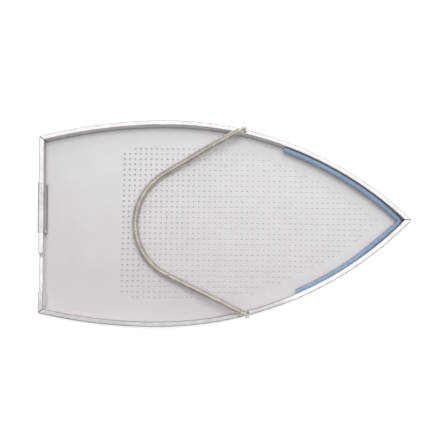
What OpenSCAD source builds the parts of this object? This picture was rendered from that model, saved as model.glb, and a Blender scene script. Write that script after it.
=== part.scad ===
// Iron shoe cover: a slip-on sole for a steam iron.
// A thin aluminium channel is bent round the outline of the sole and its two ends are pushed
// together under a sleeve at the heel. The channel holds a perforated PTFE sheet by its turned-up
// edge, a silicone tube cushions the nose of the iron, and a close-wound spring hooked to both
// sides swings over the heel of the iron and holds the shoe on.
// X runs from the heel to the tip, Y across and Z up from the ironing face.

/* [Outline] */
// Length from the back of the rail to the tip
shoe_length = 206.5; // [190:0.1:230]
// Greatest width over the rail
shoe_width = 115.8; // [100:0.2:125]
// Width over the two back corners
heel_width = 99.2; // [84:0.2:99.2]
// Distance from the back to the widest station
widest_at = 68; // [50:0.5:80]

/* [Rail] */
// Width of the channel over both legs
rail_width = 2.9; // [2.8:0.1:4]
// Thickness of the aluminium strip
rail_wall = 0.4; // [0.3:0.05:0.5]
// Height of the top of the channel above the ironing face
rail_top = 9; // [8.5:0.5:16]
// Height of the lower edges of the legs
rail_foot = 1.3; // [1.2:0.1:1.6]
// Outer radius of the two upper bends
rail_bend = 0.5; // [0.5:0.05:0.9]
// Width of the notches that let the strip bend at its three corners
notch_gap = 0.45; // [0.2:0.05:0.6]

/* [Heel joint] */
// Station across the heel where the upper end of the channel is cut off
cut_end = -16.5; // [-20:0.5:-10]
// Depth that the squeezed end reaches into the cut end
tongue_insert = 10.5; // [6:0.5:12]
// Length of the squeezed end that shows between the cut end and the shoulder
tongue_length = 20.0; // [14:0.1:21]
// Length of the shoulder where the channel narrows
shoulder_length = 2.5; // [2:0.5:5]
// Length of the groove across the squeezed end, where it meets the cut end
groove_length = 2.8; // [2:0.1:4]
// How far the outer face of the squeezed end is set in
tongue_inset = 0.6; // [0.5:0.05:0.6]
// How far the squeezed end lies below the top of the rail
tongue_drop = 0.2; // [0.1:0.05:0.3]
// How far the inner leg of the squeezed end leans in at its lower edge
corner_flare = 1.7; // [0:0.1:2]
// How far the squeezed end lies below the top of the rail where it goes into the cut end
tongue_sink = 1.2; // [0.5:0.1:1.2]
// Clearance beside the squeezed end where it goes into the cut end
tongue_fit = 0.05; // [0.02:0.01:0.08]
// Length of the joining sleeve
sleeve_length = 27.7; // [20:0.1:32]
// Station across the heel of the sleeve's middle
sleeve_at = 9.05; // [5:0.05:12]
// Thickness of the sleeve
sleeve_wall = 0.4; // [0.3:0.05:0.5]
// Clearance between the sleeve and the rail
sleeve_fit = 0.05; // [0.02:0.01:0.1]
// How far the sleeve's inner leg leans in at its lower edge
sleeve_flare = 1.0; // [0:0.1:1.2]

/* [Sole sheet] */
// Thickness of the PTFE sheet
sheet_thick = 0.9; // [0.8:0.05:1]
// Height of the turned-up edge inside the channel
sheet_edge = 7; // [5:0.5:8]
// Inner radius of the sheet's bend
sheet_bend = 0.3; // [0.2:0.05:0.4]
// Width of the cuts in the turned-up edge at the three corners
sheet_cut = 0.4; // [0.2:0.1:0.8]

/* [Perforation] */
// Diameter of each steam hole
hole_dia = 1.2; // [0.8:0.1:1.6]
// Spacing of the holes along and across the shoe
hole_pitch = 3.0; // [2.4:0.1:4]
// Distance from the back of the rail to the middle of the pattern
holes_at = 106.4; // [100:0.1:112]
// Reach of the pattern from its middle toward the heel
holes_back = 60; // [40:1:70]
// Reach of the pattern from its middle to either side
holes_side = 42; // [30:1:42]
// Length by which the outermost row on each side starts later
holes_corner = 6; // [0:1:9]
// Distance from the outer face of the rail to the nearest hole along the two front sides
holes_margin = 11.8; // [7:0.1:16]
// Turn of the pattern against the shoe in degrees
holes_turn = -1.33; // [-2:0.01:2]

/* [Nose tube] */
// Outer diameter of the silicone tube
tube_dia = 2.6; // [2.4:0.1:3.4]
// Bore of the silicone tube
tube_bore = 1.3; // [1:0.1:1.8]
// Distance from the back of the rail to the tube's upper end
tube_start_left = 136.5; // [130:0.5:160]
// Distance from the back of the rail to the tube's lower end
tube_start_right = 142; // [130:0.5:160]
// Gap between the tube and the rail on the upper side
tube_gap_left = 0.05; // [0.05:0.05:0.8]
// Gap between the tube and the rail on the lower side
tube_gap_right = 0.15; // [0.05:0.05:0.8]
// Height of the tube's centre line above the ironing face, half way up the rail
tube_level = 4.5; // [2.6:0.1:6.5]
// How much thicker the tube is where it is bent tight at the nose
tube_bulge = 0.1; // [0.06:0.02:0.2]
// Radius of the tube's centre line where it turns at the nose
tube_nose_radius = 2.4; // [2:0.1:4]

/* [Retaining spring] */
// Outer diameter of the coil
coil_dia = 3.6; // [3:0.1:4]
// Diameter of the spring wire, which is also the pitch of the closed coil
coil_wire = 0.8; // [0.7:0.05:1]
// Distance from the back of the rail to the middle of the loop at rest
loop_back = 53.2; // [46:0.2:60]
// Radius of the loop behind the two straight arms
loop_radius = 32.5; // [28:0.5:36]
// Length at the back of the loop that lies flat above the sheet, to each side of its middle
loop_flat = 24; // [16:1:34]
// Length of each arm that stays level over the rail
arm_level = 8; // [7:0.5:12]
// Length of each end hook between the coil and the middle of its eye
eye_reach = 2.2; // [2.1:0.1:3]
// Diameter of the end hook's wire
eye_wire = 0.6; // [0.5:0.05:0.7]
// Radius of the eye's centre line
eye_radius = 1.2; // [1.1:0.05:1.25]
// Gap between the spring and what it lies over
spring_gap = 0.2; // [0.1:0.05:0.4]

/* [Anchor rings] */
// Distance from the back of the rail to the spring's pivot
anchor_at = 114; // [108:0.5:120]
// Radius of the ring's centre line
ring_radius = 1.7; // [1.6:0.05:1.8]
// Diameter of the ring's wire
ring_wire = 0.7; // [0.5:0.05:0.8]
// How far the middle of the ring lies inside the outer face of the rail
ring_inset = 0.35; // [0.3:0.05:0.4]
// Lean of the ring in degrees, its top toward the heel
ring_lean = 25; // [15:1:30]
// Diameter of the two holes that each ring passes through
ring_hole = 1.3; // [1.2:0.05:1.4]

/* [Hidden] */
$fn = 96;
// Overrun of the shapes that cut, and the size of those that cut at a mitre
slack = 1;
block = 20;
// Step between surfaces where two stretches of the strip run into one another
seam = 0.03;
half_width = shoe_width / 2;
half_heel = heel_width / 2;
nose_run = shoe_length - widest_at;
rear_radius = (pow(widest_at, 2) + pow(half_width - half_heel, 2)) / 2 / (half_width - half_heel);
nose_radius = (pow(nose_run, 2) + pow(half_width, 2)) / 2 / half_width;
tip_angle = atan2(nose_radius - half_width, nose_run);

// The sleeve stands behind the rail, so the middle of the length lies a little behind the rail's own
sleeve_proud = sleeve_fit + sleeve_wall;
mid_x = (shoe_length - sleeve_proud) / 2;

// The notch at each back corner runs from the outer corner along the line where the walls meet
corner_inner = half_width - rear_radius
    + sqrt(pow(rear_radius - rail_wall, 2) - pow(widest_at - rail_wall, 2));
corner_angle = atan2(corner_inner - half_heel, rail_wall);

// Stations across the heel of the squeezed end. Its corner piece runs a little past the side's width
tongue_start = cut_end + tongue_insert;
groove_end = cut_end - groove_length;
tongue_end = cut_end - tongue_length;
shoulder_end = tongue_end - shoulder_length;
corner_end = 1.2 * rail_width - half_heel;
tongue_in = rail_wall + tongue_fit;

// The turned-up edge of the sheet stands in the middle of the channel
edge_in = (rail_width - sheet_thick) / 2;
bend_in = edge_in + sheet_bend + sheet_thick;

coil_radius = coil_dia / 2;
pivot_z = rail_top + spring_gap + coil_radius;
lie_z = sheet_thick + spring_gap + coil_radius;
anchor_y = outline_y(anchor_at, 0) - ring_inset;

// Plan of the spring: a loop behind two arms that run straight to the pivots
loop_x = loop_back + loop_radius;
pivot_far = norm([anchor_at - loop_x, anchor_y]);
arm_angle = 180 - atan2(anchor_y, anchor_at - loop_x) - acos(loop_radius / pivot_far);
loop_half = loop_radius * arm_angle * PI / 180;
arm_half = loop_half + sqrt(pow(pivot_far, 2) - pow(loop_radius, 2));
coil_half = arm_half - eye_reach;

// Facets of the coil: a flat-sided skin that dips between two turns, and a plain bore
coil_turns = floor(2 * coil_half / coil_wire);
coil_sides = 10;
coil_valley = 0.3 * coil_wire;
bore_radius = coil_radius - coil_wire;
bore_steps = 48;

// The lead is a little thicker than the eye, and the tube's stretches lap by some degrees at the nose,
// so that their surfaces cross and don't just touch
lead_wire = 1.15 * eye_wire;
nose_lap = 5;

// Distance from the middle line to the line that lies inset from the front outline, at station x
function outline_y(x, inset) = half_width - nose_radius
    + sqrt(pow(nose_radius - inset, 2) - pow(x - widest_at, 2));

// Smooth step from 0 to 1
function ease(t) = let (c = min(max(t, 0), 1)) c * c * (3 - 2 * c);

// A point of the anchor ring, a degrees round from its top
function ring_point(a) = [
    anchor_at + ring_radius * (1 - cos(a)) * sin(ring_lean),
    ring_radius * sin(a),
    pivot_z - ring_radius * (1 - cos(a)) * cos(ring_lean)
];

// Centre line of the spring at the signed distance s from the middle of its loop
function spring_height(s) = lie_z + (pivot_z - lie_z)
    * ease((abs(s) - loop_flat) / (arm_half - arm_level - loop_flat));
function spring_plan(s) = let (
        side = s < 0 ? -1 : 1,
        turn = min(abs(s) / loop_radius * 180 / PI, arm_angle),
        run = max(abs(s) - loop_half, 0)
    ) [loop_x - loop_radius * cos(turn) + run * sin(arm_angle),
       side * (loop_radius * sin(turn) + run * cos(arm_angle))];
function spring_point(s) = let (p = spring_plan(s)) [p[0], p[1], spring_height(s)];

// One ring of points round the spring's centre line
function spring_ring(s, radius) = let (
        centre = spring_point(s),
        ahead = spring_point(s + 0.05) - spring_point(s - 0.05),
        along = ahead / norm(ahead),
        level = [along[1], -along[0], 0] / norm([along[0], along[1]]),
        up = cross(level, along)
    ) [for (j = [0 : coil_sides - 1]) let (a = 360 * (j + 0.5) / coil_sides)
        centre + radius * (cos(a) * level - sin(a) * up)];

// Moves the shoe from the back of its rail to the middle of its length
module placed() {
    translate([-mid_x, 0, 0]) children();
}

// Area inside the outline, drawn in by inset
module plan(inset) {
    intersection() {
        for_both_sides(rear_radius, inset);
        translate([inset, -shoe_width]) square([widest_at - inset, 2 * shoe_width]);
    }
    intersection() {
        for_both_sides(nose_radius, inset);
        translate([widest_at, -shoe_width]) square([nose_run, 2 * shoe_width]);
    }
}

module for_both_sides(radius, inset) {
    intersection() {
        translate([widest_at, half_width - radius]) circle(radius - inset, $fn = 360);
        translate([widest_at, radius - half_width]) circle(radius - inset, $fn = 360);
    }
}

// Sweeps a section, drawn with x as the distance in from the outline, along the left side and ends
// it at the mitres of the back corner and the tip, with half the gap at each
module along_side(gap) {
    corner_span = asin(widest_at / rear_radius);
    difference() {
        union() {
            translate([widest_at, half_width - rear_radius, 0])
                rotate_extrude(start = 90, angle = corner_span + slack, $fn = 360)
                    translate([rear_radius, 0]) mirror([1, 0]) children();
            translate([widest_at, half_width - nose_radius, 0])
                rotate_extrude(start = tip_angle - slack, angle = 90 - tip_angle + slack, $fn = 360)
                    translate([nose_radius, 0]) mirror([1, 0]) children();
        }
        corner_block(gap / 2 - block);
        translate([shoe_length / 2, gap / 2 - block, -slack])
            cube([shoe_length, block, rail_top + 2 * slack]);
    }
}

// Sweeps the same section straight across the heel, between the stations from and to
module along_heel(from, to) {
    translate([0, to, 0]) rotate([90, 0, 0]) linear_extrude(to - from) children();
}

// A block along the mitre of the left back corner, from the distance shift onward to the shoe's side
module corner_block(shift) {
    translate([0, half_heel, -slack]) rotate(corner_angle) translate([-block, shift, 0])
        cube([2 * block, block, rail_top + 2 * slack]);
}

// A bar's section whose two upper edges are round
module round_topped(x0, x1, y0, y1, radius) {
    translate([x0, y0]) square([x1 - x0, y1 - radius - y0]);
    translate([x0 + radius, y0]) square([x1 - x0 - 2 * radius, y1 - y0]);
    for (x = [x0 + radius, x1 - radius]) translate([x, y1 - radius]) circle(radius);
}

// The channel's section without the upright part of its outer leg
module cap_section() {
    difference() {
        round_topped(seam, rail_width, rail_foot, rail_top, rail_bend);
        round_topped(rail_wall - seam, rail_width - rail_wall, rail_foot - slack, rail_top - rail_wall,
            rail_bend - rail_wall);
        translate([0, rail_foot - slack]) square([rail_wall, rail_top - rail_bend - rail_foot + slack]);
    }
}

// The upright part of the outer leg runs through the corners, and stops on each side of the heel joint
module outer_leg() {
    translate([0, 0, rail_foot]) linear_extrude(rail_top - rail_bend - rail_foot) difference() {
        plan(0);
        plan(rail_wall);
        translate([-slack, corner_end]) square([rail_width, cut_end - corner_end]);
    }
}

// Section of the squeezed channel as a ring of points: outer skin up and over, inner skin back
function arc_points(x, z, radius, from, to) = [for (k = [0 : 4]) let (a = from + (to - from) * k / 4)
    [x + radius * cos(a), z + radius * sin(a)]];
function channel_points(x0, x1, top, flare, wall) = concat(
    [[x0, rail_foot]],
    arc_points(x0 + rail_bend, top - rail_bend, rail_bend, 180, 90),
    arc_points(x1 - rail_bend, top - rail_bend, rail_bend, 90, 0),
    [[x1 + flare, rail_foot]],
    [[x1 + flare - wall, rail_foot]],
    arc_points(x1 - rail_bend, top - rail_bend, rail_bend - wall, 0, 90),
    arc_points(x0 + rail_bend, top - rail_bend, rail_bend - wall, 90, 180),
    [[x0 + wall, rail_foot]]
);

// Shape of the squeezed end at station y: its outer face, inner face, top, flare and wall
function tongue_shape(y) = let (
        shoulder = ease((tongue_end - y) / shoulder_length),
        groove = ease((y - groove_end) / (cut_end - groove_end)),
        corner = min(max((tongue_end - y) / (tongue_end - corner_end), 0), 1),
        shown = [tongue_inset, rail_width, rail_top - tongue_drop, 0, rail_wall],
        full = [seam, rail_width - seam, rail_top - seam, 0, rail_wall - 2 * seam],
        inserted = [tongue_in, rail_width - tongue_in, rail_top - tongue_sink, 0, rail_wall],
        bent = [0, 0, 0, 4 * corner_flare * corner * (1 - corner), 0]
    ) bent + (y < groove_end ? shown + (full - shown) * shoulder : shown + (inserted - shown) * groove);

// The squeezed end from its tip inside the channel to the back corner, where it has full width
module squeezed_end() {
    steps = 5;
    stations = concat(
        [corner_end - tongue_in],
        [for (k = [0 : steps]) corner_end + (shoulder_end - corner_end) * k / steps],
        [for (k = [1 : steps]) shoulder_end + shoulder_length * k / steps],
        [for (k = [0 : steps]) groove_end + (cut_end - groove_end) * k / steps],
        [tongue_start]
    );
    rings = [for (y = stations) let (s = tongue_shape(y))
        [for (p = channel_points(s[0], s[1], s[2], s[3], s[4])) [p[0], y, p[1]]]];
    half = len(rings[0]) / 2;
    skin(rings, [for (j = [0 : half - 2]) [j, j + 1, 2 * half - 2 - j, 2 * half - 1 - j]]);
}

// Faces between two rings of n points, whose first points are numbered a and b
function wall(n, a, b) = [for (j = [0 : n - 1]) let (k = (j + 1) % n)
    each [[a + j, b + j, a + k], [a + k, b + j, b + k]]];

// Closed skin over a list of rings with equal counts of points. cap lists the faces of the first end
module skin(rings, cap) {
    n = len(rings[0]);
    last = len(rings) - 1;
    polyhedron(
        points = [for (r = rings) each r],
        faces = concat(
            cap,
            [for (i = [0 : last - 1]) each wall(n, i * n, i * n + n)],
            [for (f = cap) [for (j = [len(f) - 1 : -1 : 0]) last * n + f[j]]]
        )
    );
}

// Closed skin over rings that lead out along the outside and back along the inside to the first ring
module hollow_skin(rings) {
    n = len(rings[0]);
    count = len(rings);
    polyhedron(
        points = [for (r = rings) each r],
        faces = [for (i = [0 : count - 1]) each wall(n, i * n, (i + 1) % count * n)]
    );
}

module frame_rail() {
    color("gainsboro") placed() difference() {
        union() {
            outer_leg();
            along_side(notch_gap) cap_section();
            mirror([0, 1, 0]) along_side(notch_gap) cap_section();
            difference() {
                along_heel(cut_end, half_heel + slack) cap_section();
                corner_block(-notch_gap / 2);
            }
            difference() {
                along_heel(-half_heel - slack, corner_end) cap_section();
                mirror([0, 1, 0]) corner_block(-notch_gap / 2);
            }
            squeezed_end();
        }
        ring_holes();
        mirror([0, 1, 0]) ring_holes();
    }
}

// The two holes that the left anchor ring passes through
module ring_holes() {
    web_angle = acos(1 - (pivot_z - rail_top + rail_wall / 2) / ring_radius / cos(ring_lean));
    web = ring_point(web_angle);
    leg = ring_point(180);
    translate([web[0], anchor_y - web[1], rail_top - rail_bend])
        cylinder(d = ring_hole, h = rail_bend + slack);
    translate([leg[0], anchor_y - ring_inset - rail_wall, leg[2]]) rotate([-90, 0, 0])
        cylinder(d = ring_hole, h = ring_inset + rail_wall + 2 * slack);
}

// The sleeve wraps the channel, and its inner leg leans in from just below the bend
module sleeve_section() {
    x0 = -sleeve_proud;
    x1 = rail_width + sleeve_proud;
    top = rail_top + sleeve_proud;
    bend = rail_bend + sleeve_proud;
    root = top - bend;
    step = sleeve_wall / 8;
    difference() {
        round_topped(x0, x1, rail_foot, top, bend);
        round_topped(x0 + sleeve_wall, x1 - sleeve_wall, rail_foot - slack, top - sleeve_wall,
            bend - sleeve_wall);
        translate([x1 - sleeve_wall - slack, 0]) square([sleeve_wall + 2 * slack, root - slack]);
    }
    polygon([[x1 - sleeve_wall + step, root], [x1 + sleeve_flare - sleeve_wall, rail_foot],
        [x1 + sleeve_flare, rail_foot], [x1 - step, root]]);
}

module joining_sleeve() {
    color("whitesmoke") placed()
        along_heel(sleeve_at - sleeve_length / 2, sleeve_at + sleeve_length / 2) sleeve_section();
}

// Section of the sheet's turned-up edge with its bend
module edge_section() {
    translate([edge_in, bend_in - edge_in]) square([sheet_thick, sheet_edge - bend_in + edge_in]);
    intersection() {
        translate([bend_in, sheet_bend + sheet_thick]) difference() {
            circle(sheet_bend + sheet_thick);
            circle(sheet_bend);
        }
        translate([edge_in, 0]) square(bend_in - edge_in);
    }
}

// Is the hole at column and row (in pitches from the middle) part of the pattern?
function hole_at(c, r) = let (p = [c, r] * hole_pitch) [
    holes_at + p[0] * cos(holes_turn) - p[1] * sin(holes_turn),
    p[0] * sin(holes_turn) + p[1] * cos(holes_turn)
];
side_rows = floor(holes_side / hole_pitch);
back_columns = floor(holes_back / hole_pitch);
front_columns = floor((shoe_length - holes_at) / hole_pitch);
function row_start(r) = -holes_back + (abs(r) == side_rows ? holes_corner : 0);
function in_pattern(c, r) = let (p = hole_at(c, r))
    c * hole_pitch >= row_start(r) - 0.01
    && norm([p[0] - widest_at, abs(p[1]) + nose_radius - half_width]) <= nose_radius - holes_margin;

module steam_holes() {
    for (r = [-side_rows : side_rows]) for (c = [-back_columns : front_columns])
        if (in_pattern(c, r)) translate(hole_at(c, r)) circle(d = hole_dia, $fn = 16);
}

module sole_sheet() {
    color("white") placed() {
        linear_extrude(sheet_thick) difference() {
            plan(bend_in);
            steam_holes();
        }
        along_side(sheet_cut) edge_section();
        mirror([0, 1, 0]) along_side(sheet_cut) edge_section();
        difference() {
            along_heel(-half_heel - slack, half_heel + slack) edge_section();
            corner_block(-sheet_cut / 2);
            mirror([0, 1, 0]) corner_block(-sheet_cut / 2);
        }
    }
}

module nose_tube() {
    inner = nose_radius - rail_width - tube_dia / 2;
    left = inner - tube_gap_left;
    right = inner - tube_gap_right;
    drop = nose_radius - half_width;
    bend_y = (pow(left - tube_nose_radius, 2) - pow(right - tube_nose_radius, 2)) / 4 / drop;
    bend_x = widest_at + sqrt(pow(left - tube_nose_radius, 2) - pow(bend_y + drop, 2));
    left_turn = atan2(bend_y + drop, bend_x - widest_at);
    right_turn = atan2(drop - bend_y, bend_x - widest_at);
    color("lightsteelblue") placed() translate([0, 0, tube_level]) {
        tube_arc([widest_at, -drop], left, left_turn, acos((tube_start_left - widest_at) / left), 0);
        tube_arc([widest_at, drop], right, -acos((tube_start_right - widest_at) / right), -right_turn, 0);
        tube_arc([bend_x, bend_y], tube_nose_radius, -right_turn - nose_lap, left_turn + nose_lap,
            tube_bulge);
    }
}

module tube_arc(centre, radius, from, to, bulge) {
    translate(centre) rotate_extrude(start = from, angle = to - from, $fn = 360)
        translate([radius, 0]) difference() {
            circle(d = tube_dia + bulge);
            circle(d = tube_bore - bulge);
        }
}

// The close-wound coil, whose skin rises and falls once for each turn of the wire, round an open bore
module coil() {
    hollow_skin(concat(
        [for (i = [0 : 2 * coil_turns])
            spring_ring(-coil_half + i * coil_half / coil_turns, coil_radius - (i % 2) * coil_valley)],
        [for (i = [bore_steps : -1 : 0])
            spring_ring(-coil_half + i * 2 * coil_half / bore_steps, bore_radius)]
    ));
}

// The end hook on the left arm: a straight lead from the coil and an eye round the pivot
module end_hook() {
    translate([anchor_at, anchor_y, pivot_z]) {
        rotate([90, 0, 0]) rotate_extrude() translate([eye_radius, 0]) circle(d = eye_wire);
        translate([0, 0, eye_radius]) rotate(180 - arm_angle) rotate([-90, 0, 0])
            cylinder(d = lead_wire, h = eye_reach + eye_wire);
    }
}

module retaining_spring() {
    color("darkkhaki") placed() {
        coil();
        end_hook();
        mirror([0, 1, 0]) end_hook();
    }
}

module anchor_ring() {
    translate([anchor_at, anchor_y, pivot_z]) rotate([0, -ring_lean, 0])
        translate([0, 0, -ring_radius]) rotate([0, 90, 0])
            rotate_extrude() translate([ring_radius, 0]) circle(d = ring_wire);
}

module anchor_ring_left() {
    color("silver") placed() anchor_ring();
}

module anchor_ring_right() {
    color("silver") placed() mirror([0, 1, 0]) anchor_ring();
}

frame_rail();
joining_sleeve();
sole_sheet();
nose_tube();
retaining_spring();
anchor_ring_left();
anchor_ring_right();
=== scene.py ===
"""Iron shoe cover: an aluminium channel round a perforated PTFE sheet, a silicone tube at the nose and
a close-wound spring that swings over the heel of the iron. Lengths are in millimetres until a mesh is
made, and stations run from the back of the rail, as in the part's source."""
import math

import bpy
import numpy as np
from mathutils import Euler, Matrix, Vector


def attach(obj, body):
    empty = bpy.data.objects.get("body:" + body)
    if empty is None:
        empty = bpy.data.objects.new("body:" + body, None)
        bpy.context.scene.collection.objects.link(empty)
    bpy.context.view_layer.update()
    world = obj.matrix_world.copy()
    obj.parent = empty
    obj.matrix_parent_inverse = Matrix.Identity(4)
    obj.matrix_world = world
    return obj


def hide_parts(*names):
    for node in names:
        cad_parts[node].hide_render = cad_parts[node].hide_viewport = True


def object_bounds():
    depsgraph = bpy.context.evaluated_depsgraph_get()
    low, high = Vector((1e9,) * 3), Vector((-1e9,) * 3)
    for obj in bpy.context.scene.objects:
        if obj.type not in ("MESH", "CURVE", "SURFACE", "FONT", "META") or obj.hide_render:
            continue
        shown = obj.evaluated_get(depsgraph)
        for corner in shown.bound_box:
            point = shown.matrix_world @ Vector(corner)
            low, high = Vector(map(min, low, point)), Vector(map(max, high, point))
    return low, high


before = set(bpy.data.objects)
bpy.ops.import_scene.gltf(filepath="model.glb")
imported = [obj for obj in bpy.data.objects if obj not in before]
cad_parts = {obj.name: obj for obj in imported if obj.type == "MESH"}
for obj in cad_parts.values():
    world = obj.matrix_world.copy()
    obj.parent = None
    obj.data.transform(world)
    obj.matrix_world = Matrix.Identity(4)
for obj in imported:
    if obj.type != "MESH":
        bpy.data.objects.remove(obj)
box_at_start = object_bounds()

MM = 0.001

# Outline of the rim, measured from the back of the rail, with the sleeve standing behind it
SLEEVE_PROUD = 0.45
LENGTH = (box_at_start[1][0] - box_at_start[0][0]) / MM - SLEEVE_PROUD
HALF_WIDTH = box_at_start[1][1] / MM
WIDEST_AT = 68.0
MID_X = (LENGTH - SLEEVE_PROUD) / 2
NOSE_RUN = LENGTH - WIDEST_AT
NOSE_RADIUS = (NOSE_RUN**2 + HALF_WIDTH**2) / 2 / HALF_WIDTH
RAIL_WIDTH = 2.9
RAIL_TOP = 9.0
# Painted shade darkens the top of the near side back from this station, in this tone
NEAR_TOP_SHADE_END = 132.0
NEAR_TOP_PAINTED_SHADE = "#acaaab"
# Painted shade at the foot of the far side
FAR_FOOT_PAINTED_SHADE = "#a09d9e"
# Painted reflection that lightens the near side's legs
NEAR_LEG_PAINTED_REFLECTION = "#f0eeef"
SHEET_THICK = 0.9

# The spring's plan and its coil
COIL_RADIUS = 1.8
COIL_WIRE = 0.8
SPRING_GAP = 0.2
LOOP_BACK = 53.2
LOOP_RADIUS = 32.5
LOOP_FLAT = 24.0
ARM_LEVEL = 8.0
EYE_REACH = 2.2
EYE_RADIUS = 1.2
EYE_WIRE = 0.6
PIVOT_AT = 114.0
RING_INSET = 0.35
PIVOT_Z = RAIL_TOP + SPRING_GAP + COIL_RADIUS
LIE_Z = SHEET_THICK + SPRING_GAP + COIL_RADIUS

# The silicone tube, which stands off the near wall over a short stretch before the tip
TUBE_RADIUS = 1.4
TUBE_BORE_RADIUS = 0.7
TUBE_LEVEL_FAR = 6.4
TUBE_LEVEL_NEAR = 2.8
TUBE_LEVEL_RUN = 30.0
TUBE_START_FAR = 136.5
TUBE_START_NEAR = 142.0
TUBE_GAP = 0.05
TUBE_STAND_OFF = 0.55
TUBE_STAND_OFF_AT = 186.0
TUBE_TURN_LENGTH = 4.0

# Camera, fitted to the grid of holes and the outline in the photograph
PHOTO_SIDE = 448
FOCAL_PIXELS = 1523
ELEVATION = 81.0
DISTANCE = 850.0
ROLL = -0.584
TARGET = (102.575 - MID_X, 0.1, 0.0)

# Brightness of the light tent, the lamp in watts, and what the table adds for the camera
TENT_LOW = 0.25
TENT_HIGH = 0.72
TENT_SLOPE = (0.2, 0.98, 0.0)
BOX_PLACE = (0.05, 0.12, 1.6)
BOX_SIDE = 1.1
BOX_POWER = 13.0
WHITE_GLOW = 0.55
# Under the shoe: a faint painted light on the table, and a grey of painted shade toward the heel
HOLE_GLOW = 0.045
HOLE_PAINTED_SHADE = "#c4c4c4"


def linear(hex_colour):
    """sRGB hex colour as linear RGBA."""
    parts = [int(hex_colour[i:i + 2], 16) / 255 for i in (1, 3, 5)]
    return (*[c / 12.92 if c <= 0.04045 else ((c + 0.055) / 1.055)**2.4 for c in parts], 1.0)


def add(material, kind, inputs=None, **settings):
    """Adds a node to a material or a world, with inputs by name or number: values or other sockets."""
    node = material.node_tree.nodes.new(kind)
    for name, value in settings.items():
        setattr(node, name, value)
    for socket, value in (inputs or {}).items():
        if isinstance(value, bpy.types.NodeSocket):
            material.node_tree.links.new(value, node.inputs[socket])
        else:
            node.inputs[socket].default_value = value
    return node


def new_material(name):
    """A material with an empty node tree."""
    material = bpy.data.materials.new(name)
    material.use_nodes = True
    material.node_tree.nodes.clear()
    return material


def finish_material(material, inputs, bump=None):
    """Ends a material in a Principled shader with the given inputs and an optional bump."""
    shader = add(material, "ShaderNodeBsdfPrincipled", inputs)
    if bump is not None:
        material.node_tree.links.new(bump.outputs["Normal"], shader.inputs["Normal"])
    output = add(material, "ShaderNodeOutputMaterial", {"Surface": shader.outputs[0]})
    return output


def ramp(material, factor, stops):
    """A colour ramp over factor through (position, hex colour) stops."""
    node = add(material, "ShaderNodeValToRGB", {0: factor})
    elements = node.color_ramp.elements
    while len(elements) < len(stops):
        elements.new(0.5)
    for element, (place, colour) in zip(elements, stops):
        element.position = place
        element.color = linear(colour)
    return node


def faded(material, value, start, end):
    """0 up to start and 1 from end on, along a socket's value in metres. The start may be the larger."""
    low, high, first = (start, end, 0.0) if start < end else (end, start, 1.0)
    node = add(material, "ShaderNodeMapRange",
               {"Value": value, "From Min": low, "From Max": high, "To Min": first, "To Max": 1.0 - first})
    return node.outputs[0]


def product(material, factors):
    """The product of some sockets."""
    total = factors[0]
    for factor in factors[1:]:
        total = add(material, "ShaderNodeMath", {0: total, 1: factor}, operation="MULTIPLY").outputs[0]
    return total


# Rolled aluminium strip, bent cold: satin, with fine lines along the strip and blurred handling marks,
# with painted shade on top along the near side, a painted reflection that lightens the near side's legs,
# and painted shade at the foot of the far side
def rolled_aluminium(name, light, dark):
    material = new_material(name)
    place = add(material, "ShaderNodeTexCoord").outputs["Object"]
    apart = add(material, "ShaderNodeSeparateXYZ", {"Vector": place})
    topmost = faded(material, apart.outputs["Z"], (RAIL_TOP - 0.6) * MM, (RAIL_TOP - 0.2) * MM)
    # Painted shade on the top of the near side, toward the back
    near_top_shade = product(material, [
        topmost,
        faded(material, apart.outputs["X"], (NEAR_TOP_SHADE_END + 9 - MID_X) * MM, (NEAR_TOP_SHADE_END - MID_X) * MM),
        faded(material, apart.outputs["Y"], -30 * MM, -50 * MM),
    ])
    cloud = add(material, "ShaderNodeTexNoise", {"Vector": place, "Scale": 1 / (9 * MM), "Detail": 5.0})
    stretched = add(material, "ShaderNodeMapping", {"Vector": place, "Scale": (1.0, 1.0, 14.0)})
    lines = add(material, "ShaderNodeTexNoise",
                {"Vector": stretched.outputs[0], "Scale": 1 / (2.5 * MM), "Detail": 3.0})
    clean = ramp(material, cloud.outputs["Fac"], [(0.3, dark), (0.62, light)])
    shaded_top = add(material, "ShaderNodeMix", {0: near_top_shade, 6: clean.outputs[0], 7: linear(NEAR_TOP_PAINTED_SHADE)},
               data_type="RGBA")
    # Painted reflection that lightens the near side's legs
    bright = product(material, [
        faded(material, apart.outputs["Z"], (RAIL_TOP - 0.2) * MM, (RAIL_TOP - 0.8) * MM),
        faded(material, apart.outputs["Y"], -2 * MM, -8 * MM),
    ])
    legs = add(material, "ShaderNodeMix", {0: bright, 6: shaded_top.outputs[2], 7: linear(NEAR_LEG_PAINTED_REFLECTION)},
               data_type="RGBA")
    # Painted shade at the foot of the far side
    far_foot_shade = product(material, [
        faded(material, apart.outputs["Z"], 0.6 * RAIL_TOP * MM, 0.1 * RAIL_TOP * MM),
        faded(material, apart.outputs["Y"], -10 * MM, 10 * MM),
    ])
    tone = add(material, "ShaderNodeMix", {0: far_foot_shade, 6: legs.outputs[2], 7: linear(FAR_FOOT_PAINTED_SHADE)},
               data_type="RGBA")
    rough = add(material, "ShaderNodeMapRange",
                {"Value": lines.outputs["Fac"], "To Min": 0.45, "To Max": 0.6})
    bump = add(material, "ShaderNodeBump",
               {"Height": lines.outputs["Fac"], "Strength": 0.18, "Distance": 0.05 * MM})
    finish_material(material, {"Base Color": tone.outputs[2], "Metallic": 1.0,
                               "Roughness": rough.outputs[0]}, bump)
    return material
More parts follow.
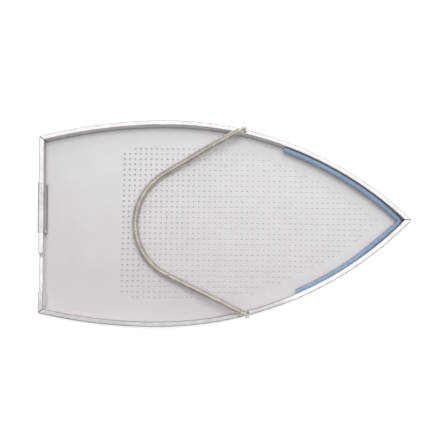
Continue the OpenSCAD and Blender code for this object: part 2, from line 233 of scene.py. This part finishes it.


# Skived PTFE sheet: waxy, milky and slightly see-through, with faint clouding and a soft ripple, and
# a painted light that makes it lighter toward the far side and the tip
def skived_ptfe():
    material = new_material("skived_ptfe")
    place = add(material, "ShaderNodeTexCoord").outputs["Object"]
    cloud = add(material, "ShaderNodeTexNoise", {"Vector": place, "Scale": 1 / (16 * MM), "Detail": 4.0})
    grain = add(material, "ShaderNodeTexNoise", {"Vector": place, "Scale": 1 / (0.9 * MM), "Detail": 3.0})
    # Painted light: the sheet lighter toward the far side and the tip
    slope = add(material, "ShaderNodeVectorMath", {0: place, 1: (0.2, 1.0, 0.0)}, operation="DOT_PRODUCT")
    painted_light_ahead = faded(material, slope.outputs["Value"], -0.045, 0.045)
    mixed = add(material, "ShaderNodeMix", {0: 0.3, 2: painted_light_ahead, 3: cloud.outputs["Fac"]})
    tone = ramp(material, mixed.outputs[0], [(0.18, "#d6d1d5"), (0.82, "#ebe7ea")])
    both = add(material, "ShaderNodeMath", {0: cloud.outputs["Fac"], 1: grain.outputs["Fac"]},
               operation="ADD")
    bump = add(material, "ShaderNodeBump",
               {"Height": both.outputs[0], "Strength": 0.12, "Distance": 0.2 * MM})
    finish_material(material, {"Base Color": tone.outputs[0], "Roughness": 0.42, "IOR": 1.36,
                               "Subsurface Weight": 0.15, "Subsurface Scale": 0.6 * MM,
                               "Subsurface Radius": (1.0, 0.95, 0.95)}, bump)
    return material


# Extruded silicone rubber: satin and slightly dusty, a soft grey blue
def blue_silicone():
    material = new_material("extruded_silicone")
    place = add(material, "ShaderNodeTexCoord").outputs["Object"]
    dust = add(material, "ShaderNodeTexNoise", {"Vector": place, "Scale": 1 / (3 * MM), "Detail": 6.0})
    tone = ramp(material, dust.outputs["Fac"], [(0.35, "#8ca3c0"), (0.7, "#9bb1c8")])
    bump = add(material, "ShaderNodeBump",
               {"Height": dust.outputs["Fac"], "Strength": 0.15, "Distance": 0.08 * MM})
    finish_material(material, {"Base Color": tone.outputs[0], "Roughness": 0.5, "IOR": 1.41,
                               "Subsurface Weight": 0.1, "Subsurface Scale": 0.8 * MM}, bump)
    return material


# Drawn spring wire with a dull nickel plating: grey with a warm, slightly olive cast
def drawn_spring_wire(name, light, dark):
    material = new_material(name)
    place = add(material, "ShaderNodeTexCoord").outputs["Object"]
    cloud = add(material, "ShaderNodeTexNoise", {"Vector": place, "Scale": 1 / (5 * MM), "Detail": 5.0})
    tone = ramp(material, cloud.outputs["Fac"], [(0.3, dark), (0.65, light)])
    rough = add(material, "ShaderNodeMapRange",
                {"Value": cloud.outputs["Fac"], "To Min": 0.4, "To Max": 0.55})
    finish_material(material, {"Base Color": tone.outputs[0], "Metallic": 1.0,
                               "Roughness": rough.outputs[0]})
    return material


def mesh_piece(name, points, faces, material):
    """A smooth-shaded mesh from points in millimetres from the back of the rail, and its faces."""
    place = (np.asarray(points, float) - [MID_X, 0, 0]) * MM
    mesh = bpy.data.meshes.new(name)
    mesh.from_pydata(place.tolist(), [], [tuple(int(i) for i in f) for f in faces])
    mesh.polygons.foreach_set("use_smooth", np.ones(len(mesh.polygons), bool))
    mesh.materials.append(material)
    mesh.update()
    piece = bpy.data.objects.new(name, mesh)
    bpy.context.scene.collection.objects.link(piece)
    return piece


def rings_along(path, normal, radius, sides):
    """Rings of points round a line: path + radius * (cos a * normal + sin a * across), where across is
    square to the line and to the normal. The radius may differ from place to place and with the angle."""
    ahead = np.gradient(path, axis=0)
    ahead /= np.linalg.norm(ahead, axis=1, keepdims=True)
    normal = normal - (normal * ahead).sum(1, keepdims=True) * ahead
    normal /= np.linalg.norm(normal, axis=1, keepdims=True)
    across = np.cross(ahead, normal)
    angle = np.arange(sides) / sides * 2 * math.pi
    ring = np.cos(angle)[None, :, None] * normal[:, None] + np.sin(angle)[None, :, None] * across[:, None]
    return path[:, None] + np.broadcast_to(radius, (len(path), sides))[..., None] * ring


def skin(rings, hollow=False):
    """Points and faces over a row of rings, with flat ends, or led on from the last ring to the first."""
    count, sides, _ = rings.shape
    row = np.arange(count if hollow else count - 1)[:, None]
    a = row * sides + np.arange(sides)
    b = row * sides + (np.arange(sides) + 1) % sides
    onward = (row + 1) % count * sides - row * sides
    faces = np.stack([a, b, b + onward, a + onward], -1).reshape(-1, 4).tolist()
    if not hollow:
        faces.append(list(range(sides))[::-1])
        faces.append([(count - 1) * sides + j for j in range(sides)])
    return rings.reshape(-1, 3), faces


def outline_y(x, inset):
    """Distance from the middle line to the front outline drawn in by inset, at station x."""
    return HALF_WIDTH - NOSE_RADIUS + np.sqrt((NOSE_RADIUS - inset)**2 - (x - WIDEST_AT)**2)


# Plan of the spring's centre line: an arc behind two straight arms
ANCHOR_Y = outline_y(PIVOT_AT, 0) - RING_INSET
LOOP_X = LOOP_BACK + LOOP_RADIUS
PIVOT_FAR = math.hypot(PIVOT_AT - LOOP_X, ANCHOR_Y)
ARM_ANGLE = math.pi - math.atan2(ANCHOR_Y, PIVOT_AT - LOOP_X) - math.acos(LOOP_RADIUS / PIVOT_FAR)
LOOP_HALF = LOOP_RADIUS * ARM_ANGLE
ARM_HALF = LOOP_HALF + math.sqrt(PIVOT_FAR**2 - LOOP_RADIUS**2)
COIL_HALF = ARM_HALF - EYE_REACH


def ease(t):
    """Smooth step from 0 to 1: t squared times (3 - 2t)."""
    t = np.clip(t, 0, 1)
    return t * t * (3 - 2 * t)


def spring_line(s):
    """Centre line at the signed distance s from the middle of the loop: an arc of the loop's radius,
    then a straight arm, with the height easing from the sheet up to the pivot."""
    turn = np.minimum(np.abs(s) / LOOP_RADIUS, ARM_ANGLE)
    run = np.maximum(np.abs(s) - LOOP_HALF, 0)
    x = LOOP_X - LOOP_RADIUS * np.cos(turn) + run * math.sin(ARM_ANGLE)
    y = np.sign(s) * (LOOP_RADIUS * np.sin(turn) + run * math.cos(ARM_ANGLE))
    z = LIE_Z + (PIVOT_Z - LIE_Z) * ease((np.abs(s) - LOOP_FLAT) / (ARM_HALF - ARM_LEVEL - LOOP_FLAT))
    return np.stack([x, y, z], -1)


def spring_frame(s):
    """Unit vectors across the centre line at s: one level, one upward."""
    ahead = spring_line(s + 0.01) - spring_line(s - 0.01)
    ahead /= np.linalg.norm(ahead, axis=1, keepdims=True)
    level = np.stack([ahead[:, 1], -ahead[:, 0], np.zeros(len(s))], -1)
    level /= np.linalg.norm(level, axis=1, keepdims=True)
    return level, np.cross(level, ahead)


def retaining_spring(material):
    """A helix of wire round the spring's centre line, one wire's thickness to the turn, with both ends
    led out straight and turned round the pivots as eyes."""
    per_turn = 18
    turns = round(2 * COIL_HALF / COIL_WIRE)
    s = np.linspace(-COIL_HALF, COIL_HALF, turns * per_turn + 1)
    angle = math.pi / 2 + (s + COIL_HALF) / (2 * COIL_HALF) * turns * 2 * math.pi
    level, up = spring_frame(s)
    out = np.cos(angle)[:, None] * level + np.sin(angle)[:, None] * up
    wire_radius = COIL_WIRE / 2
    coil = spring_line(s) + (COIL_RADIUS - wire_radius) * out
    parts = [skin(rings_along(coil, out, wire_radius, 8)), end_hook(1), end_hook(-1)]
    return join_parts("retaining_spring_coil", parts, material)


def end_hook(side):
    """The led-out end of the wire: from the top of the coil along the arm, then once round the pivot."""
    arm = np.array([math.sin(ARM_ANGLE), side * math.cos(ARM_ANGLE), 0])
    pivot = np.array([PIVOT_AT, side * ANCHOR_Y, PIVOT_Z])
    turn = np.linspace(0, 2 * math.pi * 0.97, 40)
    eye = pivot + EYE_RADIUS * np.stack([np.sin(turn), 0.06 * side * turn, np.cos(turn)], -1)
    back = np.linspace(EYE_REACH + COIL_WIRE, 0.25, 8)[:, None]
    lift = EYE_RADIUS + 0.12 * ease((back - 0.4) / EYE_REACH)
    lead = pivot - back * arm + lift * np.array([0, 0, 1])
    path = np.concatenate([lead, eye])
    upward = path - np.concatenate([lead * 0 + lead - [0, 0, 1], eye * 0 + pivot])
    radius = np.linspace(COIL_WIRE / 2, EYE_WIRE / 2, len(path))[:, None]
    return skin(rings_along(path, upward, radius, 10))


def tube_path():
    """Centre line of the silicone tube: two curves drawn in from the outline by the rail, the gap and the
    tube's radius, the near one with a smooth bump inward, which meet at the tip. A running mean along
    the line rounds them there, and the height eases from the far level to the near one across the tip."""
    inset = RAIL_WIDTH + TUBE_GAP + TUBE_RADIUS
    far_x = np.linspace(TUBE_START_FAR, LENGTH, 1200)
    near_x = np.linspace(TUBE_START_NEAR, LENGTH, 1200)
    bump = TUBE_STAND_OFF * np.exp(-((near_x - TUBE_STAND_OFF_AT) / 9)**2)
    far = np.stack([far_x, outline_y(far_x, inset)], -1)
    near = np.stack([near_x, -outline_y(near_x, inset + bump)], -1)
    line = np.concatenate([far[far[:, 1] > 0], near[near[:, 1] < 0][::-1]])
    place = np.concatenate([[0], np.cumsum(np.linalg.norm(np.diff(line, axis=0), axis=1))])
    step = 0.1
    even = np.arange(0, place[-1], step)
    line = np.stack([np.interp(even, place, line[:, i]) for i in (0, 1)], -1)
    half = round(TUBE_TURN_LENGTH / 2 / step)
    padded = np.pad(line, ((half, half), (0, 0)), mode="reflect", reflect_type="odd")
    sums = np.cumsum(np.pad(padded, ((1, 0), (0, 0))), axis=0)
    line = (sums[2 * half + 1:] - sums[:-2 * half - 1]) / (2 * half + 1)
    across = ease(0.5 - line[:, 1] / TUBE_LEVEL_RUN)
    level = TUBE_LEVEL_FAR + (TUBE_LEVEL_NEAR - TUBE_LEVEL_FAR) * across
    return np.column_stack([line, level])[::3]


def nose_tube(material):
    """The silicone tube with its open bore. Where it turns at the tip it is pinched: narrower across by
    a smooth bump along the line, a little taller, and creased on the inner side."""
    sides = 32
    path = tube_path()
    turn = np.exp(-((path[:, :1] - path[:, 0].max()) / 2.2)**2)
    angle = np.arange(sides) / sides * 2 * math.pi
    inward = np.maximum(np.cos(angle), 0)**3
    crease = np.exp(-(path[:, 1:2] / 0.45)**2) * turn * inward
    outer = TUBE_RADIUS * (1 - 0.1 * turn * np.cos(angle)**2 + 0.06 * turn * np.sin(angle)**2 - 0.22 * crease)
    ahead = np.gradient(path, axis=0)
    normal = np.stack([ahead[:, 1], -ahead[:, 0], np.zeros(len(path))], -1)
    outside = rings_along(path, normal, outer, sides)
    inside = rings_along(path, normal, outer * TUBE_BORE_RADIUS / TUBE_RADIUS, sides)
    return mesh_piece("silicone_tube", *skin(np.concatenate([outside, inside[::-1]]), hollow=True), material)


def join_parts(name, parts, material):
    """One piece from several grids."""
    points, faces, start = [], [], 0
    for part_points, part_faces in parts:
        points.append(part_points)
        faces += [[i + start for i in f] for f in part_faces]
        start += len(part_points)
    return mesh_piece(name, np.concatenate(points), faces, material)


def dress(node, material):
    """Gives a CAD node its material."""
    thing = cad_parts[node]
    thing.data.materials.clear()
    thing.data.materials.append(material)
    return thing


def stand_for(piece, node, body):
    """The piece takes the place of a CAD node on its body."""
    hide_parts(node)
    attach(piece, body)


def floor():
    """A wide white table. To the camera it is evenly white but for a soft shadow. Under the shoe, where
    it shows through the holes, it is dim, with a faint painted light and painted shade toward the heel."""
    material = new_material("white_table")
    place = add(material, "ShaderNodeTexCoord").outputs["Object"]
    apart = add(material, "ShaderNodeSeparateXYZ", {"Vector": place})
    # Inside the front outline, drawn in by 5 mm: distance from the far arc's centre below its radius
    along = add(material, "ShaderNodeMath", {0: apart.outputs["X"], 1: (MID_X - WIDEST_AT) * MM},
                operation="ADD")
    beside = add(material, "ShaderNodeMath", {0: apart.outputs["Y"]}, operation="ABSOLUTE")
    across = add(material, "ShaderNodeMath", {0: beside.outputs[0], 1: (NOSE_RADIUS - HALF_WIDTH) * MM},
                 operation="ADD")
    arm = add(material, "ShaderNodeCombineXYZ", {0: along.outputs[0], 1: across.outputs[0]})
    reach = add(material, "ShaderNodeVectorMath", {0: arm.outputs[0]}, operation="LENGTH")
    within = add(material, "ShaderNodeMath", {0: reach.outputs["Value"], 1: (NOSE_RADIUS - 5) * MM},
                 operation="LESS_THAN")
    ahead = add(material, "ShaderNodeMath", {0: apart.outputs["X"], 1: -0.07}, operation="GREATER_THAN")
    under = add(material, "ShaderNodeMath", {0: within.outputs[0], 1: ahead.outputs[0]},
                operation="MULTIPLY")
    # Painted shade: the table under the shoe greys toward the heel
    backward = add(material, "ShaderNodeVectorMath", {0: place, 1: (-1.0, 0.4, 0.0)},
                   operation="DOT_PRODUCT")
    shade = product(material, [under.outputs[0], faded(material, backward.outputs["Value"], 0.0, 0.075)])
    tone = add(material, "ShaderNodeMix", {0: shade, 6: linear("#f4f4f4"), 7: linear(HOLE_PAINTED_SHADE)},
               data_type="RGBA")
    matte = add(material, "ShaderNodeBsdfDiffuse", {"Color": tone.outputs[2]})
    # Painted light: a faint glow on the table under the shoe
    strength = add(material, "ShaderNodeMix", {0: under.outputs[0], 2: WHITE_GLOW, 3: HOLE_GLOW})
    white = add(material, "ShaderNodeEmission",
                {"Color": linear("#ffffff"), "Strength": strength.outputs[0]})
    total = add(material, "ShaderNodeAddShader", {0: matte.outputs[0], 1: white.outputs[0]})
    seen = add(material, "ShaderNodeLightPath")
    mirrored = add(material, "ShaderNodeMath",
                   {0: seen.outputs["Is Glossy Ray"], 1: seen.outputs["Is Transmission Ray"]},
                   operation="ADD")
    looked_at = add(material, "ShaderNodeMath",
                    {0: seen.outputs["Is Camera Ray"], 1: mirrored.outputs[0]},
                    operation="ADD", use_clamp=True)
    mixed = add(material, "ShaderNodeMixShader",
                {0: looked_at.outputs[0], 1: matte.outputs[0], 2: total.outputs[0]})
    add(material, "ShaderNodeOutputMaterial", {"Surface": mixed.outputs[0]})
    bpy.ops.mesh.primitive_plane_add(size=6)
    plane = bpy.context.object
    plane.name = "table"
    plane.data.materials.append(material)


def soft_light(name, place, size, power):
    """A square area lamp at place that points at the shoe."""
    lamp = bpy.data.lights.new(name, "AREA")
    lamp.size = size
    lamp.energy = power
    thing = bpy.data.objects.new(name, lamp)
    bpy.context.scene.collection.objects.link(thing)
    thing.location = place
    thing.rotation_euler = (-Vector(place)).to_track_quat("-Z", "Y").to_euler()


def studio():
    """A large soft box above, a little toward the far side, in a dim light tent that is brighter there."""
    soft_light("soft_box", BOX_PLACE, BOX_SIDE, BOX_POWER)
    world = bpy.data.worlds.new("light_tent")
    bpy.context.scene.world = world
    world.use_nodes = True
    world.node_tree.nodes.clear()
    place = add(world, "ShaderNodeTexCoord").outputs["Generated"]
    slope = add(world, "ShaderNodeVectorMath", {0: place, 1: TENT_SLOPE}, operation="DOT_PRODUCT")
    level = add(world, "ShaderNodeMapRange",
                {"Value": slope.outputs["Value"], "From Min": -0.5, "From Max": 0.5,
                 "To Min": TENT_LOW, "To Max": TENT_HIGH})
    background = add(world, "ShaderNodeBackground",
                     {"Color": linear("#fffdfd"), "Strength": level.outputs[0]})
    add(world, "ShaderNodeOutputWorld", {"Surface": background.outputs[0]})


def camera():
    """The photograph's viewpoint: from above and a little in front, turned by the roll."""
    data = bpy.data.cameras.new("photo_camera")
    data.sensor_width = 36
    data.lens = FOCAL_PIXELS / PHOTO_SIDE * data.sensor_width
    data.clip_start = 0.01
    thing = bpy.data.objects.new("photo_camera", data)
    bpy.context.scene.collection.objects.link(thing)
    rise = math.radians(ELEVATION)
    thing.location = [c * MM for c in (
        TARGET[0],
        TARGET[1] - DISTANCE * math.cos(rise),
        TARGET[2] + DISTANCE * math.sin(rise),
    )]
    upright = Euler((math.pi / 2 - rise, 0, 0)).to_matrix()
    thing.rotation_euler = (upright @ Matrix.Rotation(math.radians(ROLL), 3, "Z")).to_euler()
    bpy.context.scene.camera = thing


camera()
floor()
studio()

dress("frame_rail", rolled_aluminium("rolled_aluminium", "#d3d0d1", "#c8c5c6"))
dress("joining_sleeve", rolled_aluminium("burnished_aluminium", "#c7c4c5", "#b8b5b6"))
dress("sole_sheet", skived_ptfe())
ring_steel = drawn_spring_wire("drawn_ring_wire", "#d9d6d0", "#b9b5ae")
dress("anchor_ring_left", ring_steel)
dress("anchor_ring_right", ring_steel)
spring = retaining_spring(drawn_spring_wire("nickelled_spring_wire", "#eae5de", "#d2ccc4"))
stand_for(spring, "retaining_spring", "spring")
stand_for(nose_tube(blue_silicone()), "nose_tube", "shoe")

bpy.context.scene.view_settings.view_transform = "Standard"
